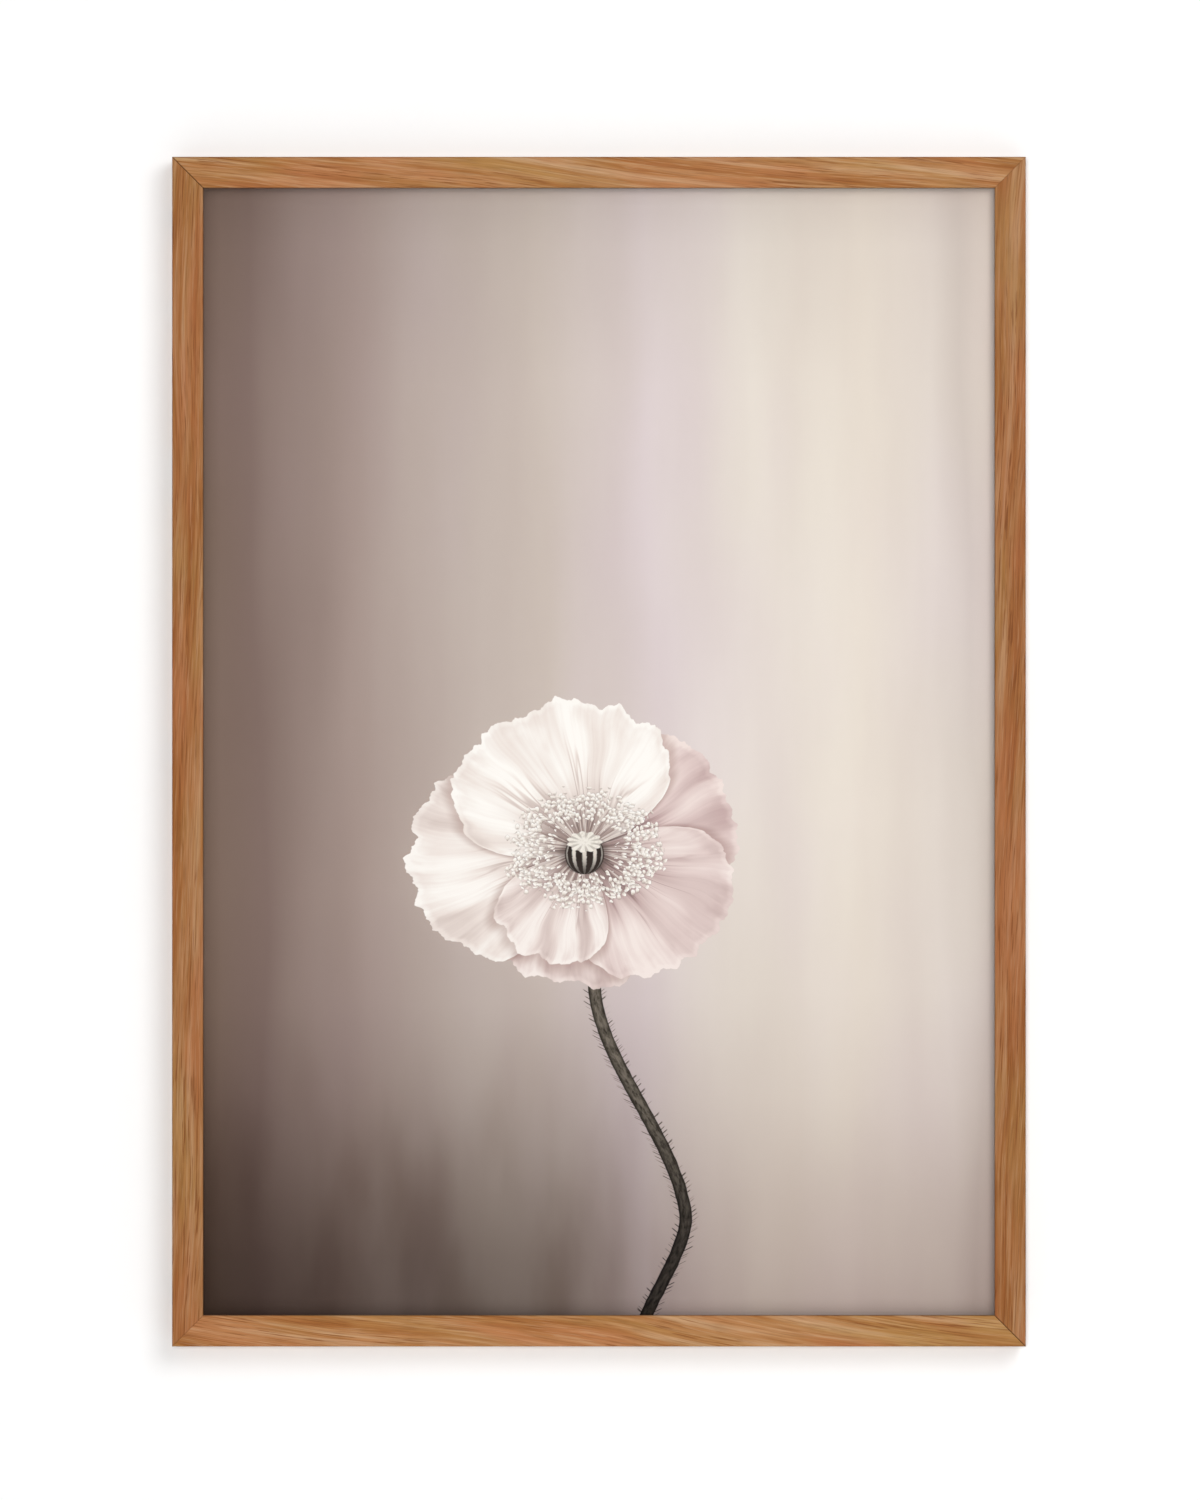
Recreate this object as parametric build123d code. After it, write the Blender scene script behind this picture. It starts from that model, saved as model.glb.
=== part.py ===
from build123d import *

import os
from math import asin, degrees, sqrt

# A picture frame in mitred oak for an A2 print, hung on a wall by two D rings.
# Millimetres. +X is to the right as seen from the front, +Y points at the wall and +Z is up.
# The origin lies on the wall plane, midway between the pivots of the two D rings.

# The print and the sheets behind the frame's lip
PRINT_WIDTH = 420.0
PRINT_HEIGHT = 594.0
GLASS_THICKNESS = 2.0
PRINT_THICKNESS = 0.3
FILLER_THICKNESS = 10.0
BACKING_THICKNESS = 3.0
STACK_SLACK = 0.1
SHEET_CLEARANCE = 1.0

# The moulding
FACE_WIDTH = 16.0
FRAME_DEPTH = 20.0
LIP_OVERLAP = 5.0
ARRIS_RADIUS = 0.7
CUT_SPARE = 5.0
MITRE_EASE = {"top_left": 0.22, "top_right": 0.08, "bottom_left": 0.14, "bottom_right": 0.22}

# Turn buttons and their screws
BUTTON_THICKNESS = 1.0
BUTTON_LIFT = 0.3
BUTTON_END_RADIUS = 4.5
BUTTON_TIP_RADIUS = 3.0
BUTTON_REACH = 14.5
BUTTON_EDGE_RADIUS = 0.25
RIB_WIDTH = 1.8
RIB_LENGTH = 6.5
RIB_HEIGHT = 0.35
RIB_EDGE_RADIUS = 0.3
RIB_SHIFT = 1.6
PIVOT_PAD_RADIUS = 3.0
TIP_PAD_RADIUS = 1.8
TIP_PAD_INSET = 0.4
PAD_GAP = 0.05
PAD_OVERLAP = 0.1
PIVOT_CLEARANCE = 0.08
BUTTON_SPACING = 230.0
SCREW_RADIUS = 1.75
SCREW_LENGTH = 12.0
SCREW_HEAD_RADIUS = 3.5
SCREW_HEAD_HEIGHT = 2.2

# Every screw's proportions: its point to its radius, and its rim and cross recess to its head
POINT_TO_RADIUS = 1.8
RIM_TO_HEAD_HEIGHT = 0.55
RECESS_DEPTH_TO_HEAD_HEIGHT = 0.6
RECESS_LENGTH_TO_HEAD_RADIUS = 1.15
RECESS_WIDTH_TO_HEAD_RADIUS = 0.26

# Strap hangers and D rings
HANGER_INSET = 6.0
STRAP_THICKNESS = 0.8
STRAP_WIDTH = 6.8
STRAP_LENGTH = 24.0
STRAP_NECK = 2.6
STRAP_SCREW_DROP = 18.5
STRAP_SCREW_RADIUS = 1.5
STRAP_SCREW_LENGTH = 11.0
STRAP_HEAD_RADIUS = 2.75
STRAP_HEAD_HEIGHT = 1.7
WIRE_RADIUS = 0.8
RING_WIDTH = 11.4
RING_LENGTH = 12.0
RING_BEND_RADIUS = 1.0
WIRE_CLEARANCE = 0.05
RING_REST_GAP = 0.15

# V-nails and bumpers
NAIL_DEPTH = 10.0
NAIL_ARM = 3.6
NAIL_THICKNESS = 0.5
NAIL_FLARE = 0.8
NAIL_INSETS = (3.0, 6.4)
BUMPER_RADIUS = 4.5
BUMPER_HEIGHT = 5.0
BUMPER_EDGE_RADIUS = 1.6
BUMPER_FROM_END = 30.0

# Sizes that follow from the ones above
REBATE_WIDTH = LIP_OVERLAP + SHEET_CLEARANCE
BACK_EDGE = FACE_WIDTH - REBATE_WIDTH
REBATE_DEPTH = GLASS_THICKNESS + PRINT_THICKNESS + FILLER_THICKNESS + BACKING_THICKNESS + STACK_SLACK
WIDTH = PRINT_WIDTH + 2 * (FACE_WIDTH - LIP_OVERLAP)
HEIGHT = PRINT_HEIGHT + 2 * (FACE_WIDTH - LIP_OVERLAP)
BACK_Y = -BUMPER_HEIGHT
HANGER_DROP = HEIGHT / 4
CENTRE_Z = HANGER_DROP - HEIGHT / 2
LOOP_RADIUS = WIRE_RADIUS + WIRE_CLEARANCE + STRAP_THICKNESS
HANGER_X = WIDTH / 2 - HANGER_INSET
STRAP_CREST_Y = 1.9 * LOOP_RADIUS
STRAP_CREST_DROP = 0.44 * LOOP_RADIUS

# The angle that each side of the frame is turned by, about +Y, from the top rail
SIDES = {"top": 0, "right": 90, "bottom": 180, "left": 270}
MEMBERS = {"top": "rail_top", "right": "stile_right", "bottom": "rail_bottom", "left": "stile_left"}
STILE_PLACES = {"lower": -BUTTON_SPACING, "middle": 0.0, "upper": BUTTON_SPACING}
CORNERS = {"top_left": (-1, 1), "top_right": (1, 1), "bottom_left": (-1, -1), "bottom_right": (1, -1)}


def side_length(side):
    return WIDTH if side in ("top", "bottom") else HEIGHT


def side_frame(side):
    """A side's own frame: X along the side, +Z outwards, with its origin midway on the outer back arris."""
    half_across = (HEIGHT if side in ("top", "bottom") else WIDTH) / 2
    return Pos(0, BACK_Y, CENTRE_Z) * Rot(0, SIDES[side], 0) * Pos(0, 0, half_across)


def prism(points, y_low, y_high):
    """A solid with the outline points (x, z) between two values of y."""
    outline = Plane.XZ * make_face(Polyline(*points, close=True).edges())
    return Pos(0, y_high, 0) * extrude(outline, amount=y_high - y_low)


def disc(radius, y_low, y_high, z=0.0):
    """A round plate or rod along Y."""
    return Pos(0, (y_low + y_high) / 2, z) * Rot(90, 0, 0) * Cylinder(radius, y_high - y_low)


def moulding(length):
    """The L-shaped section, with its front arrises eased, run along X."""
    front, lip_back = -FRAME_DEPTH, -REBATE_DEPTH
    points = (
        (front, 0),
        (front, -FACE_WIDTH),
        (lip_back, -FACE_WIDTH),
        (lip_back, -BACK_EDGE),
        (0, -BACK_EDGE),
        (0, 0),
    )
    section = make_face(Polyline(*points, close=True).edges())
    front_corners = section.vertices().sort_by(Axis.X)[:2]
    section = fillet(front_corners, ARRIS_RADIUS)
    return extrude(Plane.YZ * section, amount=length / 2, both=True)


def mitred(side):
    """One member of the frame in the side's own frame, cut at 45 degrees at both ends."""
    length = side_length(side)
    outer = length / 2 + CUT_SPARE
    inner = length / 2 - FACE_WIDTH - CUT_SPARE
    foot = -FACE_WIDTH - CUT_SPARE
    wedge = prism(
        ((-outer, CUT_SPARE), (outer, CUT_SPARE), (inner, foot), (-inner, foot)),
        -FRAME_DEPTH - CUT_SPARE,
        CUT_SPARE,
    )
    return moulding(length) & wedge


def mitre_groove(corner):
    """A bar that cuts a fine V along a mitre's front edge, half of it from each of the two members."""
    sx, sz = CORNERS[corner]
    side = sqrt(2) * MITRE_EASE[corner]
    bar = Rot(0, -45 * sx * sz, 0) * Rot(45, 0, 0) * Box(2 * FACE_WIDTH, side, side)
    inwards = FACE_WIDTH / 2
    x = sx * (WIDTH / 2 - inwards)
    z = CENTRE_Z + sz * (HEIGHT / 2 - inwards)
    return Pos(x, BACK_Y - FRAME_DEPTH, z) * bar


def v_nail(corner, inset):
    """A bent steel strip, driven in from the back across the mitre. Each arm holds one member."""
    sx, sz = CORNERS[corner]
    flare = NAIL_FLARE / sqrt(2)
    path = Polyline(
        (inset + NAIL_ARM + flare, inset - flare),
        (inset + NAIL_ARM, inset),
        (inset, inset),
        (inset, inset + NAIL_ARM),
        (inset - flare, inset + NAIL_ARM + flare),
    )
    strip = extrude(Plane.XZ * trace(path, NAIL_THICKNESS), amount=NAIL_DEPTH)
    if sx > 0:
        strip = mirror(strip, Plane.YZ)
    if sz > 0:
        strip = mirror(strip, Plane.XY)
    return Pos(sx * WIDTH / 2, BACK_Y, CENTRE_Z + sz * HEIGHT / 2) * strip


def pan_screw(radius, length, head_radius, head_height):
    """A wood screw along Y. The underside of its head is at y = 0 and its point is in -Y."""
    taper = POINT_TO_RADIUS * radius
    outline = Polyline(
        (0, -length),
        (radius, taper - length),
        (radius, 0),
        (head_radius, 0),
        (head_radius, head_height),
        (0, head_height),
        close=True,
    )
    screw = revolve(make_face(outline.edges()), Axis.Y)
    rim = screw.faces().sort_by(Axis.Y)[-1].edges()
    screw = fillet(rim, RIM_TO_HEAD_HEIGHT * head_height)
    recess_depth = RECESS_DEPTH_TO_HEAD_HEIGHT * head_height
    recess_length = RECESS_LENGTH_TO_HEAD_RADIUS * head_radius
    recess_width = RECESS_WIDTH_TO_HEAD_RADIUS * head_radius
    for turn in (0, 90):
        slot = Box(recess_length, 2 * recess_depth, recess_width)
        screw -= Pos(0, head_height, 0) * Rot(0, turn, 0) * slot
    return screw


def turn_button():
    """A stamped steel button, pointing along -Z from its pivot, with its wood side at y = 0."""
    top = BUTTON_LIFT + BUTTON_THICKNESS
    tip_z = BUTTON_TIP_RADIUS - BUTTON_REACH
    round_ends = Sketch() + Circle(BUTTON_END_RADIUS) + Pos(0, tip_z) * Circle(BUTTON_TIP_RADIUS)
    plate = Plane.XZ * make_hull(round_ends.edges())
    plate = Pos(0, top, 0) * extrude(plate, amount=BUTTON_THICKNESS)
    plate = fillet(plate.faces().sort_by(Axis.Y)[-1].edges(), BUTTON_EDGE_RADIUS)
    rib = Pos(0, top, tip_z / 2 - RIB_SHIFT) * Box(RIB_WIDTH, 2 * RIB_HEIGHT, RIB_LENGTH)
    rib = fillet(rib.edges().filter_by(Axis.Y), RIB_WIDTH / 2 - PAD_GAP)
    rib = fillet(rib.faces().sort_by(Axis.Y)[-1].edges(), RIB_EDGE_RADIUS)
    button = plate + rib
    button += disc(PIVOT_PAD_RADIUS, PAD_GAP, BUTTON_LIFT + PAD_OVERLAP)
    button += disc(TIP_PAD_RADIUS, PAD_GAP, BUTTON_LIFT + PAD_OVERLAP, z=tip_z + TIP_PAD_INSET)
    return button - disc(SCREW_RADIUS + PIVOT_CLEARANCE, -1, top + 1)


def strap_hanger():
    """A steel strip folded double round the ring's bar. The bar's axis is X and the wood is at y = 0."""
    t = STRAP_THICKNESS
    ramp_end = -LOOP_RADIUS - STRAP_NECK
    side_view = Sketch() + Pos(LOOP_RADIUS, 0) * Circle(LOOP_RADIUS)
    side_view += make_face(
        Polyline(
            (0, 0),
            (STRAP_CREST_Y, -STRAP_CREST_DROP),
            (2 * t, ramp_end),
            (2 * t, -STRAP_LENGTH),
            (0, -STRAP_LENGTH),
            close=True,
        ).edges()
    )
    side_view -= Pos(LOOP_RADIUS, 0) * Circle(WIRE_RADIUS + WIRE_CLEARANCE)
    strap = extrude(Plane.YZ * side_view, amount=STRAP_WIDTH / 2, both=True)
    lower_corners = strap.edges().filter_by(Axis.Y).sort_by(Axis.Z)[:2]
    strap = fillet(lower_corners, STRAP_WIDTH / 2 - 0.1)
    return strap - disc(STRAP_SCREW_RADIUS + WIRE_CLEARANCE, -1, 2 * t + 1, z=-STRAP_SCREW_DROP)


def d_ring():
    """A bent wire ring about the axis X, hanging in -Z from its straight bar, with its ends butted."""
    half = RING_WIDTH / 2 - WIRE_RADIUS
    bend = RING_BEND_RADIUS
    arm_end = half - RING_LENGTH
    path = Wire(
        [
            Line((0, 0), (half - bend, 0)),
            RadiusArc((half - bend, 0), (half, -bend), bend),
            Line((half, -bend), (half, arm_end)),
            ThreePointArc((half, arm_end), (0, -RING_LENGTH), (-half, arm_end)),
            Line((-half, arm_end), (-half, -bend)),
            RadiusArc((-half, -bend), (bend - half, 0), bend),
            Line((bend - half, 0), (0, 0)),
        ]
    )
    path = Plane.XZ * path
    section = Plane(origin=(0, 0, 0), z_dir=(1, 0, 0)) * Circle(WIRE_RADIUS)
    return sweep(section, path=path)


def bumper():
    """A soft round bumper on the back of the moulding, with a flat top that meets the wall."""
    block = disc(BUMPER_RADIUS, 0, BUMPER_HEIGHT)
    return fillet(block.faces().sort_by(Axis.Y)[-1].edges(), BUMPER_EDGE_RADIUS)


def sheet(y_low, thickness):
    """A flat sheet of the print's size, centred in the frame."""
    return Pos(0, y_low + thickness / 2, CENTRE_Z) * Box(PRINT_WIDTH, thickness, PRINT_HEIGHT)


def sheets():
    """The stack in the rebate, from the back of the lip to the wall side."""
    stack = (
        ("glass", GLASS_THICKNESS),
        ("art_print", PRINT_THICKNESS),
        ("filler_board", FILLER_THICKNESS),
        ("backing_board", BACKING_THICKNESS),
    )
    made = {}
    y = BACK_Y - REBATE_DEPTH
    for name, thickness in stack:
        made[name] = sheet(y, thickness)
        y += thickness
    return made


def button_seats():
    """The name, side and seat of each turn button: one on each rail and three on each stile."""
    for side in SIDES:
        places = {"": 0.0} if side in ("top", "bottom") else STILE_PLACES
        for place, height in places.items():
            along = -height if side == "right" else height
            seat = side_frame(side) * Pos(along, 0, -BACK_EDGE / 2)
            yield f"{side}_{place}".rstrip("_"), side, seat


def buttons():
    """Every turn button and its screw, and the screws by the side that they are driven into."""
    made, driven = {}, {side: [] for side in SIDES}
    screw = pan_screw(SCREW_RADIUS, SCREW_LENGTH, SCREW_HEAD_RADIUS, SCREW_HEAD_HEIGHT)
    under_head = BUTTON_LIFT + BUTTON_THICKNESS + PAD_GAP
    for name, side, seat in button_seats():
        made[f"turn_button_{name}"] = seat * turn_button()
        made[f"button_screw_{name}"] = seat * Pos(0, under_head, 0) * screw
        driven[side].append(made[f"button_screw_{name}"])
    return made, driven


def hangers():
    """The strap hanger, its screw and its ring on each stile, and the screws by side."""
    made, driven = {}, {}
    screw = pan_screw(STRAP_SCREW_RADIUS, STRAP_SCREW_LENGTH, STRAP_HEAD_RADIUS, STRAP_HEAD_HEIGHT)
    screw_seat = Pos(0, 2 * STRAP_THICKNESS, -STRAP_SCREW_DROP)
    rest_rise = 2 * STRAP_THICKNESS + WIRE_RADIUS + RING_REST_GAP - LOOP_RADIUS
    rest_tilt = degrees(asin(rest_rise / RING_LENGTH))
    for side, x in (("left", -HANGER_X), ("right", HANGER_X)):
        seat = Pos(x, BACK_Y, 0)
        made[f"strap_hanger_{side}"] = seat * strap_hanger()
        made[f"d_ring_{side}"] = seat * Pos(0, LOOP_RADIUS, 0) * Rot(rest_tilt, 0, 0) * d_ring()
        made[f"hanger_screw_{side}"] = seat * screw_seat * screw
        driven[side] = [made[f"hanger_screw_{side}"]]
    return made, driven


def bumpers():
    made = {}
    for corner, (sx, sz) in CORNERS.items():
        x = sx * (WIDTH / 2 - BACK_EDGE / 2)
        z = CENTRE_Z + sz * (HEIGHT / 2 - BUMPER_FROM_END)
        made[f"bumper_{corner}"] = Pos(x, BACK_Y, z) * bumper()
    return made


def v_nails():
    return {
        f"v_nail_{corner}_{place}": v_nail(corner, inset)
        for corner in CORNERS
        for place, inset in zip(("outer", "inner"), NAIL_INSETS)
    }


def members(driven, nails):
    """The four members, each with the holes of its screws and the slots of its V-nails."""
    made = {}
    for side, node in MEMBERS.items():
        member = side_frame(side) * mitred(side)
        cuts = driven[side] + [nail for name, nail in nails.items() if side in name]
        cuts += [mitre_groove(corner) for corner in CORNERS if side in corner]
        for cut in cuts:
            member -= cut
        made[node] = member
    return made


def main():
    fixings, driven = buttons()
    hung, hanger_screws = hangers()
    for side, screws in hanger_screws.items():
        driven[side] += screws
    nails = v_nails()
    nodes = {**members(driven, nails), **sheets(), **nails, **fixings, **hung, **bumpers()}
    os.makedirs("parts", exist_ok=True)
    for name, shape in nodes.items():
        export_step(shape, f"parts/{name}.step")
    print(len(nodes), "nodes;", "frame", WIDTH, "x", HEIGHT, "x", FRAME_DEPTH)


main()
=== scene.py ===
import math

import bpy
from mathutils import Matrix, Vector


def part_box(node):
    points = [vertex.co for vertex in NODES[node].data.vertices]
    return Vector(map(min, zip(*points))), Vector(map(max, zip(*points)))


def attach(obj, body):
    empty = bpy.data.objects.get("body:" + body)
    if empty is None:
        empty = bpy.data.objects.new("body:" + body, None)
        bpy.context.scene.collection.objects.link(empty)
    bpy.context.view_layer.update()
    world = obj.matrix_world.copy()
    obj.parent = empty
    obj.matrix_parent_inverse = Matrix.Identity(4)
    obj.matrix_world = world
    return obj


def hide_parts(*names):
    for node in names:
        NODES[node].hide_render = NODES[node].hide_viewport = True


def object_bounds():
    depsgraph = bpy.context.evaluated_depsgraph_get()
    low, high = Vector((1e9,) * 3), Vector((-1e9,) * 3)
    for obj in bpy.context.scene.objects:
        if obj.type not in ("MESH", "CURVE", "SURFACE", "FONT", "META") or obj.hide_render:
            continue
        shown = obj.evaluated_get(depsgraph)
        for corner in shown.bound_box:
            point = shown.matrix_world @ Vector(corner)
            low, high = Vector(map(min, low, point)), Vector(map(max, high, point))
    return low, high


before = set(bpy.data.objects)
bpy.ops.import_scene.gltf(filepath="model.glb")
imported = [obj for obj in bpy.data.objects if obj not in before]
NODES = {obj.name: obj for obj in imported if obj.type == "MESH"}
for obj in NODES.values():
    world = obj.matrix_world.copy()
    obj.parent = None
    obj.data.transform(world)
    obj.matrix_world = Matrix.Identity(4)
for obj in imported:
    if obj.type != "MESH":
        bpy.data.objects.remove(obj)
CAD_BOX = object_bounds()
MM = 0.001

# The frame's own measures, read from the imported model
STILE_LOW, STILE_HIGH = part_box("stile_left")
RAIL_LOW, RAIL_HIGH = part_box("rail_top")
SHEET_LOW, SHEET_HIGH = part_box("art_print")
WIDTH = RAIL_HIGH.x - RAIL_LOW.x
HEIGHT = STILE_HIGH.z - STILE_LOW.z
CENTRE = Vector((0, 0, (STILE_LOW.z + STILE_HIGH.z) / 2))
FRONT_Y = STILE_LOW.y
WALL_Y = CAD_BOX[1].y


# ---------------------------------------------------------------- node helpers
# The Mix node's sockets for two colours and their mix
MIX_FIRST = 6
MIX_SECOND = 7
MIX_RESULT = 2


def linear(value):
    """How bright a 0 to 255 value is on a screen (the sRGB curve), from 0 to 1."""
    value /= 255
    return value / 12.92 if value <= 0.04045 else ((value + 0.055) / 1.055) ** 2.4


def lit(red, green, blue):
    """The surface colour that shows as this on screen under the studio light."""
    return tuple(linear(value) / EXPOSURE for value in (red, green, blue)) + (1.0,)


def new_material(name):
    """A material with a Principled shader, and its tree and shader."""
    made = bpy.data.materials.new(name)
    made.use_nodes = True
    tree = made.node_tree
    return made, tree, tree.nodes["Principled BSDF"]


def put(tree, kind, inputs=None, **settings):
    """A node with its settings, and its inputs given as values or as sockets to link."""
    node = tree.nodes.new(kind)
    for key, value in settings.items():
        setattr(node, key, value)
    for key, value in (inputs or {}).items():
        if isinstance(value, bpy.types.NodeSocket):
            tree.links.new(value, node.inputs[key])
        else:
            node.inputs[key].default_value = value
    return node


def calc(tree, operation, first, second=0.0, third=0.0):
    """The result of a math node on up to three numbers, each a value or a socket."""
    return put(tree, "ShaderNodeMath", {0: first, 1: second, 2: third}, operation=operation).outputs[0]


def scaled(tree, vector, scale):
    return put(tree, "ShaderNodeVectorMath", {0: vector, "Scale": scale}, operation="SCALE").outputs[0]


def added(tree, first, second):
    return put(tree, "ShaderNodeVectorMath", {0: first, 1: second}, operation="ADD").outputs[0]


def length(tree, vector):
    return put(tree, "ShaderNodeVectorMath", {0: vector}, operation="LENGTH").outputs["Value"]


def noise(tree, vector, detail=2.0, roughness=0.5, scale=1.0, distortion=0.0):
    """Smooth noise about 0.5."""
    inputs = {
        "Vector": vector,
        "Scale": scale,
        "Detail": detail,
        "Roughness": roughness,
        "Distortion": distortion,
    }
    return put(tree, "ShaderNodeTexNoise", inputs).outputs["Fac"]


def stretch(tree, vector, scale, shift=(0.0, 0.0, 0.0)):
    """The vector scaled and then shifted, which sets the size and the place of a pattern on it."""
    return put(tree, "ShaderNodeMapping", {"Vector": vector, "Scale": scale, "Location": shift}).outputs[0]


def ramp(tree, factor, stops):
    """A colour ramp through (place, colour) stops."""
    node = put(tree, "ShaderNodeValToRGB", {"Fac": factor})
    elements = node.color_ramp.elements
    while len(elements) < len(stops):
        elements.new(0.5)
    for element, (place, colour) in zip(elements, stops):
        element.position = place
        element.color = colour if len(colour) == 4 else (*colour, 1.0)
    return node.outputs[0]


def fade(tree, factor, low, high, to_low=0.0, to_high=1.0):
    """A smooth step from to_low at low to to_high at high."""
    inputs = {"Value": factor, "From Min": low, "From Max": high, "To Min": to_low, "To Max": to_high}
    return put(tree, "ShaderNodeMapRange", inputs, interpolation_type="SMOOTHSTEP").outputs[0]


def blend(tree, factor, first, second, how="MIX"):
    """Two colours mixed, or the first one multiplied by the second."""
    inputs = {0: factor, MIX_FIRST: first, MIX_SECOND: second}
    return put(tree, "ShaderNodeMix", inputs, data_type="RGBA", blend_type=how).outputs[MIX_RESULT]


def bump(tree, shader, height, strength, distance):
    """Relief on a shader, from a height."""
    inputs = {"Height": height, "Strength": strength, "Distance": distance}
    tree.links.new(put(tree, "ShaderNodeBump", inputs).outputs[0], shader.inputs["Normal"])


def surface_mix(tree, share, first, second):
    """Makes the surface a mix of two shaders."""
    both = put(tree, "ShaderNodeMixShader", {0: share, 1: first.outputs[0], 2: second.outputs[0]})
    tree.links.new(both.outputs[0], tree.nodes["Material Output"].inputs["Surface"])


def place_of(tree):
    """The point's place in the frame, in millimetres, as a vector and as its three numbers."""
    point = scaled(tree, put(tree, "ShaderNodeTexCoord").outputs["Object"], 1 / MM)
    split = put(tree, "ShaderNodeSeparateXYZ", {0: point})
    return point, split.outputs[0], split.outputs[1], split.outputs[2]


def join_xyz(tree, x, y, z):
    """A vector from its three numbers."""
    return put(tree, "ShaderNodeCombineXYZ", {0: x, 1: y, 2: z}).outputs[0]


def dress(node, made):
    """Gives a CAD node its material."""
    mesh = NODES[node].data
    mesh.materials.clear()
    mesh.materials.append(made)


# ---------------------------------------------------------------- camera, stage and light
# How bright a white sheet is at the frame's middle, which lit() makes up for
EXPOSURE = 1.135
# The camera: the height that it takes in, how far off it stands, how far its aim is off the frame's middle,
# its sensor's width, and where its sight begins and ends
VIEW_HEIGHT = 776.6 * MM
CAMERA_DISTANCE = 4.2
CAMERA_OFFSET = Vector((0.55 * MM, 0, 0.85 * MM))
SENSOR = 36.0
NEAREST, FARTHEST = 0.1, 50.0
# How much light comes from all round, and how bright the surround looks to the camera
SURROUND = 0.12
BACKDROP = 0.88
# The stage (m): how far it reaches, how far it goes below and above the frame's middle, the gap between the
# bumpers and the wall, and how far off the floor begins to fade and is gone
STAGE_REACH = 6.0
FLOOR_DROP = 0.95
WALL_RISE = 2.5
WALL_GAP = 0.2 * MM
FLOOR_NEAR = 1.0
FLOOR_FAR = 3.2
WALL_COLOUR = (0.95, 0.95, 0.95)
FLOOR_COLOUR = (0.80, 0.79, 0.78)
# The lamps: the way that each one stands from the frame's middle, its distance and size (m), its level, and
# whether it shows in what shines
LAMPS = (
    ("key", (0.36, -1, 0.38), 3.4, 1.8, 0.34, True),
    ("front", (-0.04, -1, 0.02), 5.5, 0.7, 0.49, False),
    ("back_right", (0.7, 1, 0.6), 3.0, 1.6, 0.50, True),
    ("back_left", (-0.9, 1, 0.3), 3.0, 1.6, 0.34, True),
)


def make_camera():
    """A camera that looks straight at the frame from far off."""
    data = bpy.data.cameras.new("camera")
    data.sensor_width = SENSOR
    data.lens = SENSOR * CAMERA_DISTANCE / VIEW_HEIGHT
    data.clip_start, data.clip_end = NEAREST, FARTHEST
    camera = bpy.data.objects.new("camera", data)
    camera.location = CENTRE + CAMERA_OFFSET + Vector((0, FRONT_Y - CAMERA_DISTANCE, 0))
    camera.rotation_euler = (math.pi / 2, 0, 0)
    bpy.context.scene.collection.objects.link(camera)
    bpy.context.scene.camera = camera


def plane(name, corners, made):
    """A flat piece of the stage."""
    mesh = bpy.data.meshes.new(name)
    mesh.from_pydata(corners, [], [(0, 1, 2, 3)])
    mesh.materials.append(made)
    thing = bpy.data.objects.new(name, mesh)
    bpy.context.scene.collection.objects.link(thing)
    return thing


def matt_paint(name, colour):
    """Matt paint with a faint unevenness: its material, tree and shader, and the place of a point."""
    made, tree, shader = new_material(name)
    point, *_ = place_of(tree)
    cloud = noise(tree, stretch(tree, point, (0.004, 0.004, 0.004)), detail=3.0)
    duller = tuple(channel * 0.985 for channel in colour)
    tree.links.new(ramp(tree, cloud, ((0.3, colour), (0.7, duller))), shader.inputs["Base Color"])
    shader.inputs["Roughness"].default_value = 0.9
    shader.inputs["Specular IOR Level"].default_value = 0.1
    return made, tree, shader, point


def wall_paint():
    """Paint that isn't there when it is seen from behind."""
    made, tree, shader, _ = matt_paint("wall_paint", WALL_COLOUR)
    behind = put(tree, "ShaderNodeNewGeometry").outputs["Backfacing"]
    surface_mix(tree, behind, shader, put(tree, "ShaderNodeBsdfTransparent"))
    return made


def floor_paint():
    """Paint that fades into the surround far off, as the camera sees it."""
    made, tree, shader, point = matt_paint("floor_paint", FLOOR_COLOUR)
    far = fade(tree, length(tree, point), FLOOR_NEAR / MM, FLOOR_FAR / MM)
    seen = put(tree, "ShaderNodeLightPath").outputs["Is Camera Ray"]
    surround = put(tree, "ShaderNodeEmission", {"Strength": BACKDROP})
    surface_mix(tree, calc(tree, "MULTIPLY", far, seen), shader, surround)
    return made


def make_stage():
    """A pale wall that only the camera sees, so that the object's back stays lit, and a pale floor."""
    reach = STAGE_REACH
    y = WALL_Y + WALL_GAP
    low, high = CENTRE.z - FLOOR_DROP, CENTRE.z + WALL_RISE
    corners = [(-reach, y, low), (reach, y, low), (reach, y, high), (-reach, y, high)]
    wall = plane("wall", corners, wall_paint())
    for kind in ("visible_diffuse", "visible_glossy", "visible_transmission", "visible_shadow"):
        setattr(wall, kind, False)
    corners = [(-reach, -reach, low), (reach, -reach, low), (reach, reach, low), (-reach, reach, low)]
    plane("floor", corners, floor_paint())


def area_light(name, direction, distance, size, level, shows):
    """A round lamp aimed at the frame. Its level is how bright it alone makes a white sheet there."""
    data = bpy.data.lights.new(name, "AREA")
    data.shape = "DISK"
    data.size = size
    direction = Vector(direction).normalized()
    data.energy = level * (math.pi * distance) ** 2 / abs(direction.y)
    lamp = bpy.data.objects.new(name, data)
    lamp.location = CENTRE + direction * distance
    lamp.rotation_euler = (-direction).to_track_quat("-Z", "Y").to_euler()
    lamp.visible_camera = False
    lamp.visible_glossy = shows
    bpy.context.scene.collection.objects.link(lamp)


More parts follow.
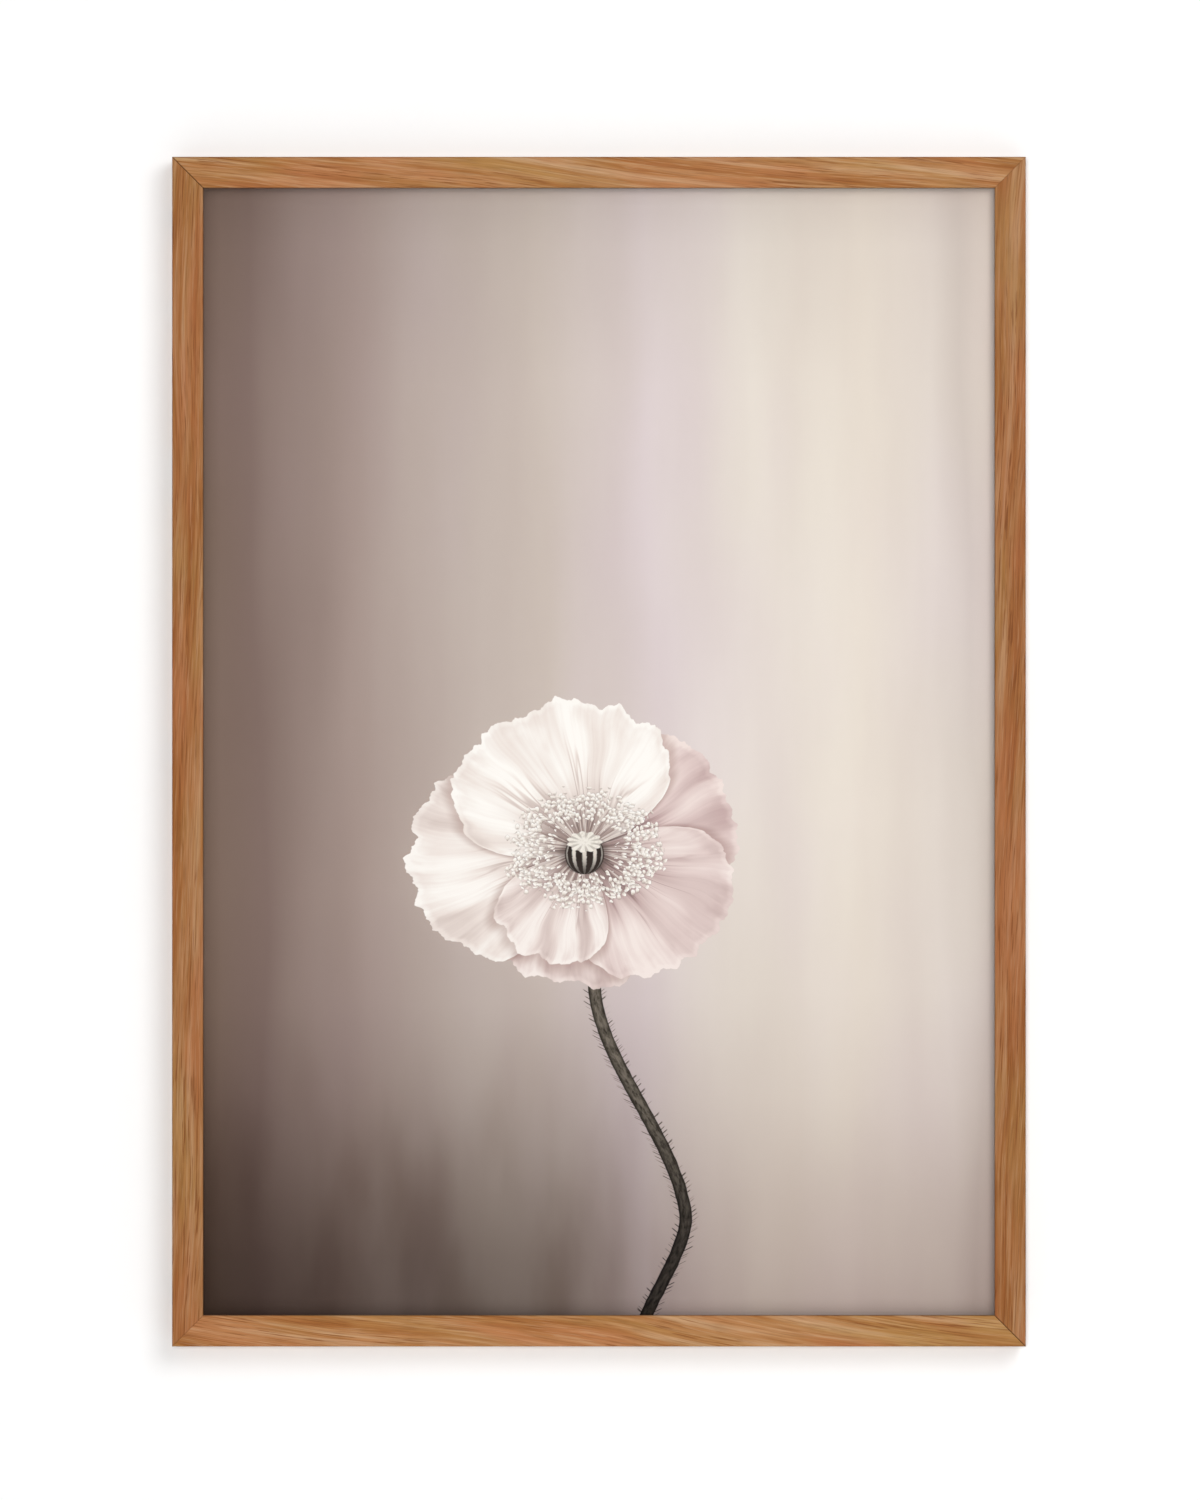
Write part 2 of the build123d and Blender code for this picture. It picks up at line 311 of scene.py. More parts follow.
def make_light():
    """A soft key from the upper right, a fill from the front, two lamps for the back and a surround."""
    for lamp in LAMPS:
        area_light(*lamp)
    world = bpy.data.worlds.new("surround")
    world.use_nodes = True
    tree = world.node_tree
    background = tree.nodes["Background"]
    background.inputs["Color"].default_value = (1, 1, 1, 1)
    seen = put(tree, "ShaderNodeLightPath").outputs["Is Camera Ray"]
    strength = calc(tree, "MULTIPLY_ADD", seen, BACKDROP - SURROUND, SURROUND)
    tree.links.new(strength, background.inputs["Strength"])
    bpy.context.scene.world = world
    bpy.context.scene.view_settings.view_transform = "Standard"
    bpy.context.scene.view_settings.look = "None"


# ---------------------------------------------------------------- timber
# The members: the axis that each one runs along, where along a plank its grain is cut from (mm), how much
# the grain slopes, how bright it is and how red. The brightness is partly the board's own tone and partly
# painted light: the rails are painted lighter and the stiles darker, for how the light catches oak's grain.
MEMBERS = (
    ("rail_top", "x", 40.0, 0.11, 1.11, -0.045),
    ("rail_bottom", "x", 930.0, 0.14, 1.14, -0.035),
    ("stile_left", "z", 410.0, -0.03, 0.97, 0.04),
    ("stile_right", "z", 1730.0, -0.05, 0.93, 0.075),
)
# How far the grain wanders across a member (mm)
GRAIN_SWAY = 16.0
# The colours of the wood between its rings, of its warmer and its greener patches, of the dark pores and of
# the pale flecks, and of the line at a mitre
OAK_TONES = (
    (0.32, lit(148, 90, 42)),
    (0.44, lit(160, 106, 58)),
    (0.55, lit(170, 120, 75)),
    (0.68, lit(184, 142, 103)),
)
OAK_WARM = lit(178, 112, 72)
OAK_OLIVE = lit(168, 128, 72)
OAK_PORE = lit(128, 74, 34)
OAK_PALE = lit(196, 158, 120)
MITRE_COLOUR = lit(78, 42, 20)
# How much lighter or darker single fibres are
FIBRE_TONES = ((0.32, (0.76, 0.73, 0.68)), (0.5, (1, 1, 1)), (0.68, (1.13, 1.13, 1.15)))
# The mitre's hairline: half its width and half of its dark middle, measured along an edge (mm), and how dark
# it is where it is faint and where it is plain
MITRE_HALF, MITRE_CORE = 0.50, 0.16
MITRE_FAINT, MITRE_PLAIN = 0.20, 0.82


def plank_place(tree, x, y, z, lengthwise, shift, slope):
    """A point's place in the plank that a member is cut from: along its grain, through it and across it."""
    along, across = (x, z) if lengthwise == "x" else (z, x)
    along = calc(tree, "ADD", along, shift)
    straight = join_xyz(tree, along, y, across)
    sway = noise(tree, stretch(tree, straight, (0.006, 0.03, 0.02), (0, shift, 0)), detail=1.0)
    sway = calc(tree, "MULTIPLY_ADD", sway, GRAIN_SWAY, -GRAIN_SWAY / 2)
    lean = calc(tree, "MULTIPLY", along, slope)
    return join_xyz(tree, along, y, calc(tree, "ADD", calc(tree, "ADD", across, sway), lean))


def oak(name, lengthwise, shift, slope, tone_and_sheen, redness):
    """Oiled oak with its grain along one axis of the frame, as a solid, so that its edges agree."""
    made, tree, shader = new_material(name)
    _, x, y, z = place_of(tree)
    grain = plank_place(tree, x, y, z, lengthwise, shift, slope)
    rings = stretch(tree, grain, (0.010, 0.10, 0.30))
    rings = noise(tree, rings, detail=3.0, roughness=0.55, distortion=0.35)
    fibre = noise(tree, stretch(tree, grain, (0.045, 0.6, 1.5)), detail=4.0, roughness=0.6)
    strokes = noise(tree, stretch(tree, grain, (0.05, 0.9, 1.7), (31, 5, 9)), detail=2.0, roughness=0.45)
    gather = noise(tree, stretch(tree, grain, (0.02, 0.1, 0.12), (7, 3, 1)), detail=1.0)
    patch = noise(tree, stretch(tree, grain, (0.012, 0.06, 0.07), (13, 17, 19)), detail=2.0)
    warm = blend(tree, fade(tree, patch, 0.46, 0.68, 0.0, 0.5), ramp(tree, rings, OAK_TONES), OAK_WARM)
    body = blend(tree, fade(tree, patch, 0.50, 0.30, 0.0, 0.5), warm, OAK_OLIVE)
    fibred = blend(tree, 1.0, body, ramp(tree, fibre, FIBRE_TONES), "MULTIPLY")
    pore = calc(tree, "MULTIPLY", fade(tree, strokes, 0.57, 0.67), fade(tree, gather, 0.36, 0.58))
    pored = blend(tree, calc(tree, "MULTIPLY", pore, 0.8), fibred, OAK_PORE)
    flecked = blend(tree, fade(tree, strokes, 0.42, 0.30, 0.0, 0.32), pored, OAK_PALE)
    # Painted light: the brightness lightens the rails and darkens the stiles, for how the light catches
    # oak's grain
    tint = (tone_and_sheen, tone_and_sheen * (1 - redness), tone_and_sheen * (1 - 1.6 * redness), 1.0)
    toned = blend(tree, 1.0, flecked, tint, "MULTIPLY")
    tree.links.new(mitre_line(tree, x, z, toned), shader.inputs["Base Color"])
    tree.links.new(fade(tree, fibre, 0.3, 0.7, 0.50, 0.62), shader.inputs["Roughness"])
    shader.inputs["Specular IOR Level"].default_value = 0.2
    bump(tree, shader, calc(tree, "MULTIPLY_ADD", pore, -0.9, fibre), 0.35, 0.12 * MM)
    return made


def mitre_line(tree, x, z, colour):
    """A dark hairline where two members meet, plain at two of the corners and faint at the other two."""
    from_side = calc(tree, "SUBTRACT", WIDTH / 2 / MM, calc(tree, "ABSOLUTE", x))
    height = calc(tree, "SUBTRACT", z, CENTRE.z / MM)
    from_end = calc(tree, "SUBTRACT", HEIGHT / 2 / MM, calc(tree, "ABSOLUTE", height))
    gap = calc(tree, "ABSOLUTE", calc(tree, "SUBTRACT", from_side, from_end))
    line = fade(tree, gap, MITRE_HALF, MITRE_CORE)
    falling = calc(tree, "LESS_THAN", calc(tree, "MULTIPLY", x, height), 0.0)
    strength = calc(tree, "MULTIPLY_ADD", falling, MITRE_PLAIN - MITRE_FAINT, MITRE_FAINT)
    return blend(tree, calc(tree, "MULTIPLY", line, strength), colour, MITRE_COLOUR)


def dress_timber():
    """Its own cut of oak for each member, with painted light that makes the rails lighter and the stiles
    darker.
    """
    for node, lengthwise, shift, slope, tone_and_sheen, redness in MEMBERS:
        dress(node, oak(f"oak_{node}", lengthwise, shift, slope, tone_and_sheen, redness))


# ---------------------------------------------------------------- sheets and hardware
# The burnished arcs on the board (mm): their radius about a pivot, half their width, and half of their
# strongest part
TIP_SWING = 11.1
RUB_HALF, RUB_CORE = 1.9, 0.5


def clear_glass():
    """Thin anti-reflection picture glass: clear, with a sheen that sets in at a slant."""
    made, tree, shader = new_material("picture_glass")
    tree.nodes.remove(shader)
    clear = put(tree, "ShaderNodeBsdfTransparent", {"Color": (1, 1, 1, 1)})
    sheen = put(tree, "ShaderNodeBsdfGlossy", {"Color": (1, 1, 1, 1), "Roughness": 0.04})
    slant = put(tree, "ShaderNodeFresnel", {"IOR": 1.12}).outputs[0]
    surface_mix(tree, fade(tree, slant, 0.015, 0.35, 0.0, 0.6), clear, sheen)
    return made


def rubbed(tree, x, z):
    """Where the tips of the turn buttons have burnished the board: an arc about each pivot."""
    flat = join_xyz(tree, x, 0.0, z)
    arcs = 0.0
    for node in NODES:
        if node.startswith("button_screw"):
            low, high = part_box(node)
            pivot = (low + high) / 2 / MM
            reach = length(tree, added(tree, flat, (-pivot.x, 0, -pivot.z)))
            off = calc(tree, "ABSOLUTE", calc(tree, "SUBTRACT", reach, TIP_SWING))
            arcs = calc(tree, "MAXIMUM", arcs, fade(tree, off, RUB_HALF, RUB_CORE))
    scratches = noise(tree, stretch(tree, flat, (0.7, 0.7, 0.7), (2, 0, 5)), detail=4.0, roughness=0.7)
    return calc(tree, "MULTIPLY", arcs, fade(tree, scratches, 0.38, 0.62))


def fibreboard():
    """Brown fibreboard: matted fibres, darker flecks, a slight cloudiness and the marks of the buttons."""
    made, tree, shader = new_material("fibreboard")
    point, x, _, z = place_of(tree)
    cloud = noise(tree, stretch(tree, point, (0.012, 0.012, 0.012)), detail=3.0)
    mat = noise(tree, stretch(tree, point, (1.1, 1.1, 0.35), (3, 1, 4)), detail=4.0, roughness=0.65)
    fleck = noise(tree, stretch(tree, point, (1.8, 1.8, 2.2), (9, 2, 6)), detail=1.0)
    body = ramp(tree, cloud, ((0.35, lit(157, 124, 91)), (0.65, lit(164, 131, 96))))
    fibres = ramp(tree, mat, ((0.35, (0.82, 0.80, 0.78)), (0.65, (1.10, 1.10, 1.08))))
    body = blend(tree, 1.0, body, fibres, "MULTIPLY")
    body = blend(tree, fade(tree, fleck, 0.66, 0.74, 0.0, 0.5), body, lit(96, 68, 44))
    rub = rubbed(tree, x, z)
    body = blend(tree, calc(tree, "MULTIPLY", rub, 0.5), body, lit(116, 98, 80))
    tree.links.new(body, shader.inputs["Base Color"])
    rough = fade(tree, mat, 0.3, 0.7, 0.62, 0.8)
    tree.links.new(calc(tree, "MULTIPLY_ADD", rub, -0.22, rough), shader.inputs["Roughness"])
    bump(tree, shader, mat, 0.25, 0.1 * MM)
    return made


def foam_board():
    """White card faces, with the fine cells of the foam core."""
    made, tree, shader = new_material("foam_board")
    point, *_ = place_of(tree)
    cells = put(tree, "ShaderNodeTexVoronoi", {"Vector": point, "Scale": 1.6}).outputs["Distance"]
    colour = ramp(tree, cells, ((0.1, lit(236, 235, 230)), (0.8, lit(222, 221, 216))))
    tree.links.new(colour, shader.inputs["Base Color"])
    shader.inputs["Roughness"].default_value = 0.8
    bump(tree, shader, cells, 0.2, 0.1 * MM)
    return made


def plated(name, colour, roughness, brushed, tarnish):
    """Plated steel with faint handling marks, and a brushing along X where it was rolled."""
    made, tree, shader = new_material(name)
    point, *_ = place_of(tree)
    cloud = noise(tree, stretch(tree, point, (0.25, 0.25, 0.25)), detail=4.0, roughness=0.6)
    lines = noise(tree, stretch(tree, point, (0.3, 6.0, 9.0)), detail=2.0)
    stained = ramp(tree, cloud, ((0.3, colour), (0.62, [c * 0.93 for c in colour]), (0.8, tarnish)))
    tree.links.new(stained, shader.inputs["Base Color"])
    shader.inputs["Metallic"].default_value = 1.0
    tree.links.new(fade(tree, cloud, 0.25, 0.8, roughness, roughness + 0.16), shader.inputs["Roughness"])
    bump(tree, shader, lines, brushed, 0.03 * MM)
    return made


def soft_rubber():
    """Matt grey rubber with a fine moulded grain and a paler bloom."""
    made, tree, shader = new_material("soft_rubber")
    point, *_ = place_of(tree)
    bloom = noise(tree, stretch(tree, point, (0.4, 0.4, 0.4)), detail=3.0)
    pits = noise(tree, stretch(tree, point, (5.0, 5.0, 5.0)), detail=2.0)
    colour = ramp(tree, bloom, ((0.35, lit(62, 62, 64)), (0.7, lit(86, 86, 87))))
    tree.links.new(colour, shader.inputs["Base Color"])
    shader.inputs["Roughness"].default_value = 0.72
    bump(tree, shader, pits, 0.3, 0.08 * MM)
    return made


def dress_hardware():
    """Metal and rubber for the hardware, by the start of each node's name, and the three sheets."""
    zinc = plated("zinc_plate", (0.60, 0.61, 0.62), 0.30, 0.25, (0.42, 0.40, 0.34))
    nickel = plated("nickel_plate", (0.70, 0.68, 0.64), 0.16, 0.05, (0.52, 0.46, 0.36))
    bare = plated("bare_steel", (0.34, 0.34, 0.35), 0.42, 0.4, (0.22, 0.16, 0.12))
    rubber = soft_rubber()
    finishes = (
        ("turn_button", zinc),
        ("strap_hanger", zinc),
        ("button_screw", zinc),
        ("hanger_screw", zinc),
        ("d_ring", nickel),
        ("v_nail", bare),
        ("bumper", rubber),
    )
    for node in NODES:
        for start, finish in finishes:
            if node.startswith(start):
                dress(node, finish)
    dress("glass", clear_glass())
    dress("backing_board", fibreboard())
    dress("filler_board", foam_board())


# ---------------------------------------------------------------- the print
# The picture is a poppy, painted by nodes on the front of the sheet. The drawing is this script's own, but
# its layout is measured from the photo: the flower's place and size, the lie of its petals, and the stem's
# course to near its foot. The measures are in millimetres from the middle of the flower, which is so far
# from the frame's middle.
FLOWER = Vector((-7.5, 0, -52.0))
# How soft the painted edges are (mm)
EDGE = 0.4
# The ground's colours from the left edge of the sheet to the right; the darker stop at 0.96 is painted shade
# of the frame's lip along the picture's right edge
GROUND_TONES_AND_LIP_SHADE = (
    (0.00, lit(127, 107, 95)),
    (0.08, lit(132, 112, 104)),
    (0.19, lit(169, 151, 143)),
    (0.32, lit(193, 179, 171)),
    (0.44, lit(204, 191, 182)),
    (0.56, lit(220, 208, 206)),
    (0.69, lit(229, 220, 210)),
    (0.82, lit(230, 220, 208)),
    (0.92, lit(225, 215, 206)),
    # Painted shade of the frame's lip, darker than the ground on either side of it
    (0.96, lit(212, 201, 192)),
    (1.00, lit(222, 210, 200)),
)
# How bright the ground is up the picture, from 0 at its foot, in its left and its right half. The darkening
# over its top is partly the print's own tone and partly painted shade of the frame's lip
LEFT_FALL = (
    (0.0, 0.26),
    (0.06, 0.33),
    (0.11, 0.44),
    (0.20, 0.71),
    (0.28, 0.90),
    (0.38, 1.0),
    (0.82, 1.0),
    # The top stops are darker partly in the print and partly as painted shade of the frame's lip above
    (0.94, 0.91),
    (1.0, 0.78),
)
RIGHT_FALL = (
    (0.0, 0.56),
    (0.06, 0.65),
    (0.11, 0.71),
    (0.20, 0.86),
    (0.29, 0.95),
    (0.45, 1.0),
    # The top stops are darker partly in the print and partly as painted shade of the frame's lip above
    (0.82, 0.98),
    (0.94, 0.94),
    (1.0, 0.82),
)


def mask_over(tree, distance):
    """1 where the distance is over zero, with a soft edge."""
    return fade(tree, distance, -EDGE / 2, EDGE / 2)


def paper_finish(shader):
    """Matt, as printing paper is."""
    shader.inputs["Roughness"].default_value = 0.75
    shader.inputs["Specular IOR Level"].default_value = 0.12


def spread(tree, value, low, high):
    """0 at low to 1 at high, evenly, and no further."""
    inputs = {"Value": value, "From Min": low, "From Max": high}
    return put(tree, "ShaderNodeMapRange", inputs).outputs[0]


def fall(tree, height, steps, green, blue):
    """How light the ground is up the picture, as a colour that is warmer where it is low. Over the top
    this holds painted shade of the frame's lip as well as the print's own tone.
    """
    return ramp(tree, height, tuple((place, (light, light**green, light**blue)) for place, light in steps))


def ground(tree, point, x, z):
    """The soft ground: dark mauve at the left to cream at the right, darker at its foot and top. The
    darkening at its top and near its right edge is partly painted shade of the frame's lip.
    """
    across = spread(tree, x, SHEET_LOW.x / MM, SHEET_HIGH.x / MM)
    up = spread(tree, z, SHEET_LOW.z / MM, SHEET_HIGH.z / MM)
    sway = noise(tree, stretch(tree, point, (0.013, 0, 0.0025), (3, 0, 8)), detail=2.0)
    across = calc(tree, "ADD", across, calc(tree, "MULTIPLY_ADD", sway, 0.14, -0.07))
    left = fall(tree, up, LEFT_FALL, 1.08, 1.13)
    right = fall(tree, up, RIGHT_FALL, 1.20, 1.24)
    side = fade(tree, calc(tree, "ADD", across, calc(tree, "MULTIPLY", up, -0.25)), 0.36, 0.70)
    colour = blend(tree, 1.0, ramp(tree, across, GROUND_TONES_AND_LIP_SHADE), blend(tree, side, left, right), "MULTIPLY")
    wash = noise(tree, stretch(tree, point, (0.028, 0, 0.0045), (5, 0, 2)), detail=3.0, roughness=0.45)
    washed = ramp(tree, wash, ((0.3, (0.955, 0.945, 0.945)), (0.7, (1.02, 1.03, 1.03))))
    colour = blend(tree, 1.0, colour, washed, "MULTIPLY")
    smoke = noise(tree, stretch(tree, point, (0.032, 0, 0.009), (17, 0, 6)), detail=3.0, roughness=0.4)
    low_left = calc(tree, "MULTIPLY", fade(tree, up, 0.30, 0.08), fade(tree, across, 0.72, 0.45))
    smoke = calc(tree, "MULTIPLY", fade(tree, smoke, 0.34, 0.72), low_left)
    colour = blend(tree, smoke, colour, (0.74, 0.69, 0.67, 1), "MULTIPLY")
    lilac = noise(tree, stretch(tree, point, (0.012, 0, 0.004), (11, 0, 4)), detail=2.0)
    lilac = fade(tree, lilac, 0.42, 0.68, 0.0, 0.8)
    return blend(tree, lilac, colour, (0.99, 0.975, 1.025, 1), "MULTIPLY")


# ---------------------------------------------------------------- the picture's petals
# How wide and how high the petals are drawn, to the reach that each one is given
PETALS_WIDE, PETALS_HIGH = 0.93, 0.96
# The petals from the back to the front: the way each one points and half the angle that it spans (degrees),
# its reach (mm), how flat it is seen, where its base shade ends, its folds, how pink it is, and the shade
# that it throws on the petals behind
PETALS = (
    (26, 74, 86, 0.92, 0.80, 0.30, 0.80, 0.0),
    (266, 70, 80, 0.90, 0.62, 0.36, 0.50, 0.6),
    (188, 66, 97, 0.88, 0.60, 0.30, 0.10, 0.6),
    (322, 64, 87, 0.88, 0.72, 0.26, 0.65, 0.6),
    (244, 52, 66, 0.95, 0.62, 0.34, 0.35, 0.7),
    (108, 82, 88, 0.93, 0.58, 0.22, 0.03, 0.7),
)
# How square a petal's corners are, how ragged its rim is, how much its folds wander, and how far each shade
# reaches (mm) and its colour
CORNER = 3.2
RAGGED = 0.13
FOLD_SWAY = 0.14
SHADE_REACH = 9.0
SHADE_COLOUR = (0.60, 0.49, 0.47, 1)
# How strong the fine veins are, and how dark the creases and the ruffles make a petal
VEINS = 0.22
CREASE_DEPTH = 0.34
RUFFLE_DEPTH = 0.16
# The steps between one petal's noise and the next one's, and between the noises of one petal
PETAL_STEP, FIELD_STEP = 11.7, 7.3
# A petal's colours from its creases to lit silk, in white and in dusty pink
WHITE_SILK = (
    (0.10, lit(96, 80, 76)),
    (0.35, lit(160, 140, 134)),
    (0.58, lit(206, 190, 183)),
    (0.80, lit(236, 226, 219)),
    (1.00, lit(251, 248, 243)),
)
PINK_SILK = (
    (0.10, lit(84, 64, 64)),
    (0.35, lit(144, 114, 114)),
    (0.58, lit(190, 161, 160)),
    (0.80, lit(218, 195, 192)),
    (1.00, lit(236, 219, 213)),
)


class Petal:
    """A petal that fans out from the flower's middle, with the fields that paint it."""

    def __init__(self, tree, x, z, aim, half, reach, squash, seed):
        self.tree = tree
        self.seed = seed
        z = calc(tree, "DIVIDE", z, squash)
        distance = length(tree, join_xyz(tree, x, z, 0.0))
        turn = calc(tree, "SUBTRACT", calc(tree, "ARCTAN2", z, x), math.radians(aim))
        turn = calc(tree, "WRAP", turn, math.pi, -math.pi)
        side = calc(tree, "DIVIDE", turn, math.radians(half))
        spine = calc(tree, "SUBTRACT", 1.0, calc(tree, "POWER", calc(tree, "ABSOLUTE", side), CORNER))
        fan = calc(tree, "POWER", calc(tree, "MAXIMUM", spine, 0.0), 0.5)
        frill = self.field(side, math.radians(half) * reach * 0.07, 0.0, 0.0, 1, detail=4.0)
        fan = calc(tree, "MULTIPLY", fan, calc(tree, "MULTIPLY_ADD", frill, 2 * RAGGED, 1.0 - RAGGED))
        rim = calc(tree, "MAXIMUM", calc(tree, "MULTIPLY", fan, reach), 0.6)
        self.outside = calc(tree, "SUBTRACT", distance, rim)
        self.mask = mask_over(tree, calc(tree, "MULTIPLY", self.outside, -1.0))
        self.out = calc(tree, "DIVIDE", distance, rim)
        lean = self.field(side, 1.5, self.out, 1.6, 2, detail=1.0)
        self.side = calc(tree, "ADD", side, calc(tree, "MULTIPLY_ADD", lean, 2 * FOLD_SWAY, -FOLD_SWAY))

    def field(self, side, across, out, along, number, detail=2.0):
        """Noise over the petal, with so many waves across it and along it."""
        tree = self.tree
        waves_across = calc(tree, "MULTIPLY", side, across)
        waves_along = calc(tree, "MULTIPLY", out, along)
        vector = join_xyz(tree, waves_across, waves_along, self.seed + FIELD_STEP * number)
        return noise(tree, vector, detail=detail)

    def tone(self, base_reach, fold):
        """How light the petal is: shaded at its base, with folds and creases that fan out from there."""
        tree = self.tree
        base = fade(tree, self.out, 0.10, base_reach, 0.42, 1.0)
        swell = self.field(self.side, 4.5, self.out, 0.9, 3, detail=1.5)
        swell = calc(tree, "MULTIPLY_ADD", fade(tree, swell, 0.30, 0.62), fold, 1.0 - fold)
        crease = calc(tree, "SUBTRACT", self.field(self.side, 9.0, self.out, 0.7, 4), 0.5)
        crease = fade(tree, calc(tree, "ABSOLUTE", crease), 0.05, 0.0)
        reach = self.field(self.side, 6.0, 0.0, 0.0, 5)
        window = fade(tree, calc(tree, "SUBTRACT", self.out, reach), 0.25, -0.12)
        crease = calc(tree, "MULTIPLY_ADD", calc(tree, "MULTIPLY", crease, window), -CREASE_DEPTH, 1.0)
        fine = self.field(self.side, 42.0, self.out, 1.3, 6, detail=3.0)
        fine = calc(tree, "MULTIPLY_ADD", fine, VEINS, 1.0 - VEINS / 2)
        ruffle = self.field(self.side, 8.0, self.out, 3.5, 7, detail=3.0)
        ruffle = calc(tree, "MULTIPLY", fade(tree, ruffle, 0.60, 0.36), fade(tree, self.out, 0.72, 1.0))
        ruffle = calc(tree, "MULTIPLY_ADD", ruffle, -RUFFLE_DEPTH, 1.0)
        tone = base
        for part in (swell, calc(tree, "MULTIPLY", crease, fine), ruffle):
            tone = calc(tree, "MULTIPLY", tone, part)
        return calc(tree, "ADD", tone, fade(tree, self.out, 0.95, 0.985, 0.0, 0.09))


def lay_petals(tree, x, z):
    """The petals over one another, each with a soft shade on those behind: their colour and their mask."""
    colour, cover = None, None
    for number, (aim, half, reach, squash, base_reach, fold, pink, shade) in enumerate(PETALS, 1):
        petal = Petal(tree, x, z, aim, half, reach, squash, PETAL_STEP * number)
        tone = petal.tone(base_reach, fold)
        painted = blend(tree, pink, ramp(tree, tone, WHITE_SILK), ramp(tree, tone, PINK_SILK))
        if colour is None:
            colour, cover = painted, petal.mask
            continue
        cast = fade(tree, petal.outside, 0.0, SHADE_REACH, shade, 0.0)
        shaded = blend(tree, cast, colour, SHADE_COLOUR, "MULTIPLY")
        colour = blend(tree, petal.mask, shaded, painted)
        cover = calc(tree, "MAXIMUM", cover, petal.mask)
    return colour, cover


# ---------------------------------------------------------------- the picture's stamens and pod
# The ring of stamens: half its width and height, how far up its middle is, and how close its threads are
STAMENS_WIDE, STAMENS_HIGH, STAMENS_UP = 37.0, 28.0, 1.5
THREADS = 17.0
# The layers of anthers: whether they fan out, the size of one, and where in the ring they begin and end
ANTHERS = (
    (True, 2.5, 0.40, 0.95),
    (False, 2.4, 0.52, 1.08),
    (True, 2.1, 0.60, 1.05),
)
# An anther's colours from its underside to its top
ANTHER_TONES = (
    (0.0, lit(186, 170, 160)),
    (0.45, lit(236, 229, 221)),
    (1.0, lit(253, 251, 247)),
)
# The pod's cup and its lid: half the width and height of each, and how far up its middle is
CUP_WIDE, CUP_HIGH, CUP_UP = 10.2, 10.4, -1.2
LID_WIDE, LID_HIGH, LID_UP = 9.4, 5.6, 5.2
# How many rays the lid has; the cup's ribs are as close
RAYS = 11.0


def about(tree, x, z, wide, high, up):
    """The angle about an ellipse's middle, and how far out from it, with 1 at its rim."""
    side = calc(tree, "DIVIDE", x, wide)
    rise = calc(tree, "DIVIDE", calc(tree, "SUBTRACT", z, up), high)
    return calc(tree, "ARCTAN2", rise, side), length(tree, join_xyz(tree, side, rise, 0.0))


def stamens(tree, x, z, colour):
    """A ring of pale threads over a shaded cup, with anthers round its outside."""
    around, out = about(tree, x, z, STAMENS_WIDE, STAMENS_HIGH, STAMENS_UP)
    ring_x = calc(tree, "MULTIPLY", calc(tree, "COSINE", around), THREADS)
    ring_z = calc(tree, "MULTIPLY", calc(tree, "SINE", around), THREADS)
    spoke = noise(tree, join_xyz(tree, ring_x, ring_z, calc(tree, "MULTIPLY", out, 1.4)), detail=2.0)
    wobble = noise(tree, join_xyz(tree, ring_x, ring_z, 3.0), scale=0.22, detail=2.0)
    out = calc(tree, "ADD", out, calc(tree, "MULTIPLY_ADD", wobble, 0.34, -0.17))
    cup = blend(tree, fade(tree, out, 1.05, 0.25, 0.0, 0.62), colour, lit(150, 130, 124))
    thread = calc(tree, "MULTIPLY", fade(tree, spoke, 0.52, 0.60), fade(tree, out, 0.98, 0.80))
    threaded = blend(tree, calc(tree, "MULTIPLY", thread, 0.8), cup, lit(226, 215, 207))
    gap = calc(tree, "MULTIPLY", fade(tree, spoke, 0.40, 0.32), fade(tree, out, 0.80, 0.40))
    painted = blend(tree, calc(tree, "MULTIPLY", gap, 0.6), threaded, lit(92, 76, 72))
    fan = (calc(tree, "MULTIPLY", around, 26.0), calc(tree, "MULTIPLY", out, 30.0))
    for number, (fanned, size, inner, outer) in enumerate(ANTHERS, 1):
        across, along = fan if fanned else (x, z)
        painted = anthers(tree, across, along, out, painted, size, inner, outer, number)
    return painted


def anthers(tree, across, along, out, colour, size, inner, outer, number):
    """Small pale grains strewn over the outer part of the ring, lit from above."""
    spot = join_xyz(tree, calc(tree, "DIVIDE", across, size), calc(tree, "DIVIDE", along, size * 1.4), 0.0)
    stir = put(tree, "ShaderNodeTexNoise", {"Vector": spot, "Scale": 1.7, "Detail": 2.0}).outputs["Color"]
    spot = added(tree, spot, scaled(tree, stir, 0.5))
    spot = added(tree, spot, (3.7 * number, 8.1 * number, 0))
    cells = put(tree, "ShaderNodeTexVoronoi", {"Vector": spot, "Scale": 1.0}, voronoi_dimensions="2D")
    away = cells.outputs["Distance"]
    chance = put(tree, "ShaderNodeSeparateColor", {0: cells.outputs["Color"]}).outputs[0]
    begun = fade(tree, out, inner, inner + 0.22)
    crowd = calc(tree, "MULTIPLY", begun, fade(tree, out, outer + 0.12, outer - 0.1))
    kept = calc(tree, "LESS_THAN", chance, calc(tree, "MULTIPLY", crowd, 0.72))
    centre = scaled(tree, cells.outputs["Position"], -1.0)
    height = put(tree, "ShaderNodeSeparateXYZ", {0: added(tree, spot, centre)}).outputs[1]
    painted = ramp(tree, spread(tree, height, -0.35, 0.30), ANTHER_TONES)
    shade = calc(tree, "MULTIPLY", fade(tree, away, 0.62, 0.34), kept)
    colour = blend(tree, calc(tree, "MULTIPLY", shade, 0.35), colour, lit(112, 94, 88))
    return blend(tree, calc(tree, "MULTIPLY", fade(tree, away, 0.44, 0.34), kept), colour, painted)


